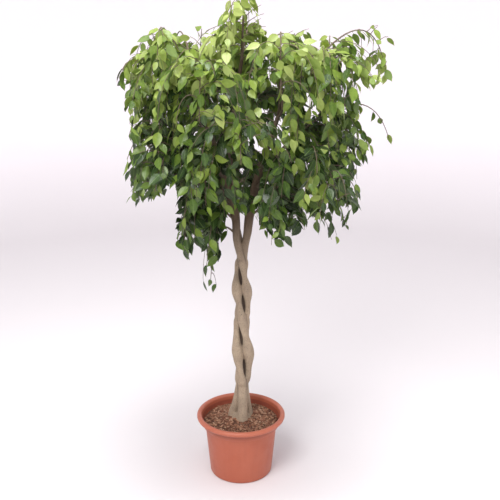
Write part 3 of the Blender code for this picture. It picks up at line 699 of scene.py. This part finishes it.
CROWN_OUTLINE = (
    (0.036, 1.845), (0.068, 1.815), (0.080, 1.730), (0.107, 1.680), (0.142, 1.680), (0.176, 1.715),
    (0.280, 1.730), (0.350, 1.705), (0.387, 1.705), (0.420, 1.735), (0.490, 1.740), (0.530, 1.690),
    (0.530, 1.600), (0.550, 1.530), (0.450, 1.490), (0.430, 1.450), (0.460, 1.430), (0.550, 1.390),
    (0.555, 1.320), (0.485, 1.265), (0.405, 1.230), (0.445, 1.180), (0.440, 1.110), (0.398, 1.060),
    (0.415, 1.000), (0.415, 0.945), (0.387, 0.980), (0.350, 0.925), (0.316, 0.925), (0.280, 1.050),
    (0.246, 1.000), (0.210, 0.915), (0.140, 0.915), (0.107, 0.965), (0.072, 0.985), (0.062, 1.050),
    (-0.045, 1.050), (-0.064, 0.990), (-0.080, 0.900), (-0.088, 0.830), (-0.100, 0.725), (-0.140, 0.735),
    (-0.150, 0.840), (-0.140, 0.917), (-0.170, 0.930), (-0.210, 0.865), (-0.236, 0.910), (-0.245, 1.020),
    (-0.225, 1.070), (-0.245, 1.160), (-0.280, 1.140), (-0.327, 1.120), (-0.420, 1.090), (-0.448, 1.178),
    (-0.400, 1.230), (-0.396, 1.350), (-0.406, 1.400), (-0.396, 1.432), (-0.442, 1.481), (-0.428, 1.578),
    (-0.388, 1.626), (-0.375, 1.674), (-0.349, 1.680), (-0.311, 1.736), (-0.277, 1.736), (-0.208, 1.690),
    (-0.173, 1.690), (-0.102, 1.755), (-0.067, 1.805), (-0.010, 1.845),
)
CROWN_MIDDLE = Vector((0.030, 0.0, 1.370))
RAGGED_EDGE = (-0.022, 0.030)
CROWN_BOX = ((-0.440, -0.404, 0.700), (0.548, 0.446, 1.850))
CROWN_REACH = 0.47
YOUNG_TOP = 1.5
YOUNG_ABOVE = 1.50
THIN_BELOW = (1.05, 2.2)
THIN_BEYOND = (0.66, 1.6)
THIN_ABOVE = (1.62, 3.2)
YOUNG_SHOOTS = (
    (-0.159, 1.534, 0.060), (-0.218, 1.568, 0.045), (0.019, 1.793, 0.080), (0.065, 1.393, 0.040),
    (0.080, 1.303, 0.045), (-0.136, 1.200, 0.040), (0.265, 1.174, 0.035), (0.281, 1.106, 0.045),
    (0.283, 1.636, 0.060), (0.486, 1.560, 0.050), (-0.072, 1.382, 0.030), (-0.305, 1.118, 0.035),
    (-0.104, 1.640, 0.050), (-0.020, 1.560, 0.040), (0.179, 1.560, 0.040), (-0.390, 1.600, 0.060),
)


def leaf_stands(point, airy, draw):
    """True if a leaf grows here: the crown is airy low down, high up and far out, and ragged at its edge."""
    outward = point - CROWN_MIDDLE
    bare = max(
        (THIN_BELOW[0] - point.z) * THIN_BELOW[1],
        (point.z - THIN_ABOVE[0]) * THIN_ABOVE[1],
        (Vector((outward.x, outward.z)).length / CROWN_REACH - THIN_BEYOND[0]) * THIN_BEYOND[1],
    )
    edge = point + outward.normalized() * draw.uniform(*RAGGED_EDGE)
    return within_crown(edge) and draw.random() > airy * min(bare, 0.72)


def seen_place(point):
    """Where the sight line of a viewer in front passes the plane through the plant's middle, as (x, z)."""
    share = -EYE.y / (point.y - EYE.y)
    return EYE.x + (point.x - EYE.x) * share, EYE.z + (point.z - EYE.z) * share


def within_crown(point):
    """True if a point lies in the crown's space and shows inside its outline, as seen from in front."""
    x, z = seen_place(point)
    inside = False
    if not all(low < place < high for low, place, high in zip(CROWN_BOX[0], point, CROWN_BOX[1])):
        return False
    for (x1, z1), (x2, z2) in zip(CROWN_OUTLINE, CROWN_OUTLINE[1:] + CROWN_OUTLINE[:1]):
        if (z1 > z) != (z2 > z) and x < x1 + (z - z1) * (x2 - x1) / (z2 - z1):
            inside = not inside
    return inside


def youth_near(point):
    """How near a point is to one of the young yellow-green shoots on the plant's front."""
    x, z = seen_place(point)
    near = 0.0
    for shoot_x, shoot_z, reach in YOUNG_SHOOTS:
        near = max(near, 1.0 - ((x - shoot_x) ** 2 + (z - shoot_z) ** 2) ** 0.5 / reach)
    return near if point.y < 0.05 else 0.5 * near


def bezier(corners, t):
    a, b, c, d = corners
    s = 1 - t
    return a * s ** 3 + b * (3 * s * s * t) + c * (3 * s * t * t) + d * t ** 3


def place_at_height(path, height):
    for low, high in zip(path, path[1:]):
        if low.z <= height <= high.z:
            return low.lerp(high, (height - low.z) / (high.z - low.z))
    return path[-1]


def branch_corners(path, height, tip, crest):
    """Bezier corners of an arching branch: out of its limb, over its crest, down to its tip."""
    start = place_at_height(path, height).to_3d()
    tip = Vector(tip)
    reach = tip - start
    middle = (crest - (start.z + tip.z) / 8) * 8 / 3
    fall_height = (middle - start.z * (1 - ARCH_RISE)) / (1 + ARCH_RISE)
    rise = start + reach * ARCH_START
    rise.z = start.z + ARCH_RISE * (fall_height - start.z)
    fall = start + reach * ARCH_FALL
    fall.z = fall_height
    return (start, rise, fall, tip)


def curve_points(corners, count):
    return [bezier(corners, step / (count - 1)) for step in range(count)]


def on_curve(points, share):
    """Place and heading at a share of a curve's points."""
    place = share * (len(points) - 1)
    step = min(int(place), len(points) - 2)
    return points[step].lerp(points[step + 1], place - step), (points[step + 1] - points[step]).normalized()


def curve_length(points):
    return sum((b - a).length for a, b in zip(points, points[1:]))


def leaf_shape(number):
    """One leaf lying along +X with its upper side up: a thin pointed blade, folded, arched, on its stalk."""
    draw = random.Random(500 + number)
    fold = draw.uniform(0.10, 0.42)
    arch = draw.uniform(0.05, 0.30)
    twist = draw.uniform(-0.5, 0.5)
    wave = draw.uniform(0.02, 0.07)
    phase = draw.uniform(0, tau)
    bm = bmesh.new()
    bmesh.ops.create_grid(bm, x_segments=2, y_segments=len(LEAF_OUTLINE) - 1, size=0.5)
    for vertex in bm.verts:
        across = vertex.co.x * 2
        along, half = LEAF_OUTLINE[round((vertex.co.y + 0.5) * (len(LEAF_OUTLINE) - 1))]
        vertex.co = Vector((along, across * half * 0.5, 0.0))
    bmesh.ops.remove_doubles(bm, verts=bm.verts, dist=WELD)
    bm.normal_update()
    bmesh.ops.solidify(bm, geom=bm.faces[:], thickness=LEAF_THICKNESS)
    bmesh.ops.recalc_face_normals(bm, faces=bm.faces)
    top = max(vertex.co.z for vertex in bm.verts)
    blade = bm.loops.layers.uv.new("blade")
    under = bm.verts.layers.float.new("under")
    bm.verts.layers.float.new("age")
    for vertex in bm.verts:
        vertex[under] = 0.0 if vertex.co.z > top - LEAF_THICKNESS / 2 else 1.0
    for face in bm.faces:
        for loop in face.loops:
            loop[blade].uv = (loop.vert.co.x, 0.5 + loop.vert.co.y)
    for vertex in bm.verts:
        along, side, lift = vertex.co
        side *= LEAF_WIDTH
        bent = fold * abs(side) * (1 - 14 * abs(side)) + wave * abs(side) * sin(9 * along + phase)
        bent += twist * side * along * 0.6
        drop = arch * LEAF_LENGTH * along * along
        vertex.co = Vector((STALK_LENGTH + along * LEAF_LENGTH, side, lift - top + bent - drop))
    stalk = Matrix.Translation((STALK_LENGTH / 2, 0, 0)) @ Matrix.Rotation(pi / 2, 4, "Y")
    bmesh.ops.create_cone(
        bm, cap_ends=True, segments=3, radius1=STALK_RADIUS, radius2=STALK_RADIUS,
        depth=STALK_LENGTH * 1.15, matrix=stalk,
    )
    shape = bpy.data.meshes.new(f"leaf_{number}")
    bm.to_mesh(shape)
    bm.free()
    return shape


def leaf_place(root, hang, face, size):
    """Where a leaf goes: its stalk at the root, its tip along hang, its upper side towards face."""
    along = hang.normalized()
    across = face.cross(along).normalized()
    up = along.cross(across)
    turn = Matrix((along, across, up)).transposed().to_4x4()
    return Matrix.Translation(root) @ turn @ Matrix.Scale(size, 4)


def make_leaf_finish():
    material, tree, shader = new_finish("fig_leaf", 0.32)
    age = add_node(tree, "Attribute", attribute_name="age").outputs["Fac"]
    under = add_node(tree, "Attribute", attribute_name="under").outputs["Fac"]
    place = object_place(tree)
    blade = add_node(tree, "SeparateXYZ", {"Vector": add_node(tree, "UVMap", uv_map="blade").outputs["UV"]})
    along = blade.outputs["X"]
    off_rib = calc(tree, "ABSOLUTE", calc(tree, "SUBTRACT", blade.outputs["Y"], 0.5))
    rib = rescale(tree, off_rib, 0.0, 0.035, 1.0, 0.0)
    slant = calc(tree, "MULTIPLY", off_rib, 9.0)
    vein_phase = calc(tree, "SUBTRACT", calc(tree, "MULTIPLY", along, 13.0), slant)
    vein = rescale(tree, calc(tree, "SINE", calc(tree, "MULTIPLY", vein_phase, tau)), 0.75, 1.0)
    tone = calc(tree, "ADD", age, mottle(tree, place, 90.0, -0.05, 0.05))
    colour = ramp(tree, tone, (
        (0.0, (0.013, 0.028, 0.008)), (0.26, (0.032, 0.068, 0.013)), (0.46, (0.105, 0.175, 0.024)),
        (0.68, (0.270, 0.370, 0.060)), (1.0, (0.480, 0.560, 0.180)),
    ))
    glow = ramp(tree, tone, (
        (0.0, (0.040, 0.100, 0.012)), (0.5, (0.190, 0.340, 0.035)), (1.0, (0.500, 0.600, 0.130)),
    ))
    pale = dye(tree, 0.45, colour, (0.160, 0.230, 0.090))
    colour = dye(tree, calc(tree, "MULTIPLY", under, 0.7), colour, pale)
    lines = calc(tree, "MAXIMUM", calc(tree, "MULTIPLY", rib, 0.55), calc(tree, "MULTIPLY", vein, 0.16))
    colour = dye(tree, lines, colour, (0.230, 0.360, 0.090))
    tree.links.new(colour, shader.inputs["Base Color"])
    tree.links.new(rescale(tree, under, 0.0, 1.0, 0.24, 0.55), shader.inputs["Roughness"])
    sunk = calc(tree, "ADD", calc(tree, "MULTIPLY", rib, -0.6), calc(tree, "MULTIPLY", vein, -0.3))
    relief(tree, shader, sunk, 0.5, 0.0006)
    glow_shader = add_node(tree, "BsdfTranslucent", {"Color": glow})
    thin = rescale(tree, tone, 0.2, 0.9, 0.12, 0.45)
    shader.inputs["Specular IOR Level"].default_value = 0.38
    both = add_node(tree, "MixShader", {0: thin, 1: shader.outputs["BSDF"], 2: glow_shader.outputs["BSDF"]})
    tree.links.new(both.outputs["Shader"], tree.nodes["Material Output"].inputs["Surface"])
    return material


def make_twig_finish():
    material, tree, shader = new_finish("twig_bark", 0.7)
    place = object_place(tree)
    young = add_node(tree, "Attribute", attribute_name="age").outputs["Fac"]
    tone = calc(tree, "ADD", young, mottle(tree, place, 150.0, -0.12, 0.12))
    colour = ramp(tree, tone, (
        (0.0, (0.110, 0.080, 0.050)), (0.5, (0.100, 0.068, 0.034)), (1.0, (0.110, 0.130, 0.034)),
    ))
    tree.links.new(colour, shader.inputs["Base Color"])
    relief(tree, shader, mottle(tree, place, 400.0), 0.4, 0.0006)
    return material


leaf_shapes = [leaf_shape(number) for number in range(LEAF_SHAPES)]
leaf_finish = make_leaf_finish()
twig_finish = make_twig_finish()


def side_twig(rod, share, number, draw):
    """Points of one side twig: it leaves the branch sideways, arches over and hangs."""
    start, heading = on_curve(rod, share)
    level = Vector((heading.x, heading.y, 0.0))
    if level.length < 0.15:
        level = Vector((start.x, start.y, 0.0))
    turn = draw.uniform(25, 85) * (1 if number % 2 else -1)
    out = Matrix.Rotation(radians(turn), 3, "Z") @ level.normalized()
    first, last = SIDE_TWIG_LENGTHS
    length = (first + (last - first) * share) * draw.uniform(0.75, 1.25)
    droop = draw.uniform(0.25, 1.05)
    rise = draw.uniform(0.05, 0.40)
    corners = [start]
    bend = (0.80 - 0.18 * droop, rise - 0.45 * droop)
    end = (0.98 - 0.34 * droop, -0.8 * droop)
    for ahead, lift in ((0.38, rise), bend, end):
        corners.append(start + out * (ahead * length) + Vector((0.0, 0.0, lift * length)))
    return curve_points(corners, SIDE_TWIG_RINGS)


def leaves_on(points, first, draw, youth, side=True):
    """Leaves on alternate sides of a twig as (shape, place, age), and the twig as far as its last leaf.
    A side twig ends where it leaves the crown, a main branch doesn't and is leafier."""
    leaves = []
    last = 0
    length = curve_length(points)
    count = max(2, round(length * (1 - first) / LEAF_SPACING))
    for number in range(count + 1):
        share = first + (0.995 - first) * number / count
        place, heading = on_curve(points, share)
        if side and not within_crown(place):
            break
        across = heading.cross(Vector((0, 0, 1)))
        if across.length < 0.2:
            across = Vector((-place.y, place.x, 0.0))
        across = across.normalized() * (1 if number % 2 else -1)
        outward = Vector((place.x, place.y, 0.0)).normalized()
        wild = Vector([draw.uniform(-1, 1) for _ in range(3)])
        sink = draw.uniform(0.15, 0.95)
        hang = across * 0.55 + heading * 0.40 - Vector((0, 0, sink)) + outward * 0.2 + wild * 0.45
        face = outward * 0.7 + Vector((0, 0, 0.6)) + across * 0.2
        face += Vector([draw.uniform(-1, 1) for _ in range(3)])
        size = draw.uniform(*LEAF_SIZES) * (0.8 if number == count else 1.0)
        shape = draw.choice(leaf_shapes)
        age = youth + 0.25 * share ** 3 + draw.uniform(-0.30, 0.30)
        tip = place + hang.normalized() * (STALK_LENGTH + 0.85 * LEAF_LENGTH) * size
        if leaf_stands(tip, 1.0 if side else 0.4, draw):
            age += 0.75 * youth_near(tip) + YOUNG_TOP * max(0.0, tip.z - YOUNG_ABOVE)
            age = max(0.0, min(1.0, age))
            leaves.append((shape, leaf_place(place, hang, face, size), age))
            last = ceil(share * (len(points) - 1))
    return leaves, points[:last + 1]


for number, (limb, height, tip, crest) in enumerate(LEAFY_BRANCHES, 1):
    draw = random.Random(LEAF_SEED + number)
    rod = curve_points(branch_corners(limb_paths[limb], height, tip, crest), BRANCH_RINGS)
    youth = 0.13 + 0.42 * max(0.0, min(1.0, (tip[2] - 1.1) / 0.6))
    leaves, kept = leaves_on(rod, 0.20, draw, youth, side=False)
    thinning = BRANCH_TIP_RADIUS - BRANCH_BASE_RADIUS
    radii = [BRANCH_BASE_RADIUS + thinning * (step / (len(kept) - 1)) ** 0.7 for step in range(len(kept))]
    radii[0] = BRANCH_ROOT_RADIUS
    rods = [list(zip(kept, radii))]
    base, end = SIDE_TWIG_RADII
    for twig in range(SIDE_TWIGS):
        share = FIRST_SIDE_TWIG + (LAST_SIDE_TWIG - FIRST_SIDE_TWIG) * twig / (SIDE_TWIGS - 1)
        if share * (BRANCH_RINGS - 1) > len(kept) - 1:
            break
        sprig, points = leaves_on(side_twig(rod, share, twig, draw), 0.06, draw, youth)
        if len(points) > 1:
            leaves += sprig
            thinning = (end - base) / (len(points) - 1)
            rods.append([(point, base + thinning * step) for step, point in enumerate(points)])
    wood = rods_mesh("wood", rods, 1)
    wood.attributes.new("age", "FLOAT", "POINT")
    wood.attributes.new("under", "FLOAT", "POINT")
    for polygon in wood.polygons:
        polygon.material_index = 1
    bm = bmesh.new()
    bm.from_mesh(wood)
    for shape, place, age in leaves:
        add_copy(bm, shape, place, {"age": age})
    leaves = add_piece(f"weeping_branch_{number:02d}", bm, leaf_finish, 60)
    leaves.data.materials.append(twig_finish)
    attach(leaves, "root")
    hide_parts(f"leafy_branch_{number:02d}")

# Floor and light
# The plant stands in a white cove, lit softly from the left and above, with its shade falling to the right.
COVE_RADIUS = 5.5
COVE_FILLET = 1.4
COVE_HEIGHT = 4.5
COVE_WHITE = (0.93, 0.90, 0.915)
FLOOR_WHITE = (0.77, 0.745, 0.755)
NO_GLOW = (0.0, 0.0, 0.0)
WALL_GLOW = (0.100, 0.088, 0.105)
SKY_WHITE = (1.0, 0.985, 1.0)
SKY_STRENGTH = 0.58
cove_profile = [(0.0, 0.0), (1.0, 0.0), (2.5, 0.0)]
cove_profile += arc((COVE_RADIUS - COVE_FILLET, COVE_FILLET), COVE_FILLET, -90, 0, 14)
cove_profile += [(COVE_RADIUS, COVE_HEIGHT)]
cove_finish, tree, shader = new_finish("cove_paint", 0.9)
height = add_node(tree, "SeparateXYZ", {"Vector": object_place(tree)}).outputs["Z"]
wall = rescale(tree, height, 0.0, 0.8)
tree.links.new(dye(tree, wall, FLOOR_WHITE, COVE_WHITE), shader.inputs["Base Color"])
tree.links.new(dye(tree, wall, NO_GLOW, WALL_GLOW), shader.inputs["Emission Color"])
shader.inputs["Emission Strength"].default_value = 1.0
cove_mesh = turned(cove_profile, 96)
bmesh.ops.reverse_faces(cove_mesh, faces=cove_mesh.faces)
cove = add_piece("studio_cove", cove_mesh, cove_finish)
world = bpy.data.worlds.new("studio")
bpy.context.scene.world = world
world.use_nodes = True
world.node_tree.nodes["Background"].inputs["Color"].default_value = (*SKY_WHITE, 1.0)
world.node_tree.nodes["Background"].inputs["Strength"].default_value = SKY_STRENGTH


def softbox(name, place, aim, size, power):
    light = bpy.data.lights.new(name, "AREA")
    light.shape = "SQUARE"
    light.size = size
    light.energy = power
    lamp = bpy.data.objects.new(name, light)
    lamp.location = place
    lamp.rotation_euler = (Vector(aim) - Vector(place)).to_track_quat("-Z", "Y").to_euler()
    bpy.context.scene.collection.objects.link(lamp)


softbox("key_softbox", (-1.0, -2.4, 3.6), (0.0, 0.0, 1.1), 1.6, 108.0)
softbox("fill_softbox", (2.2, -2.8, 1.8), (0.0, 0.0, 0.9), 2.4, 16.0)
softbox("top_softbox", (0.1, -0.3, 3.9), (0.0, 0.0, 1.2), 1.4, 90.0)
bpy.context.scene.view_settings.view_transform = "Standard"
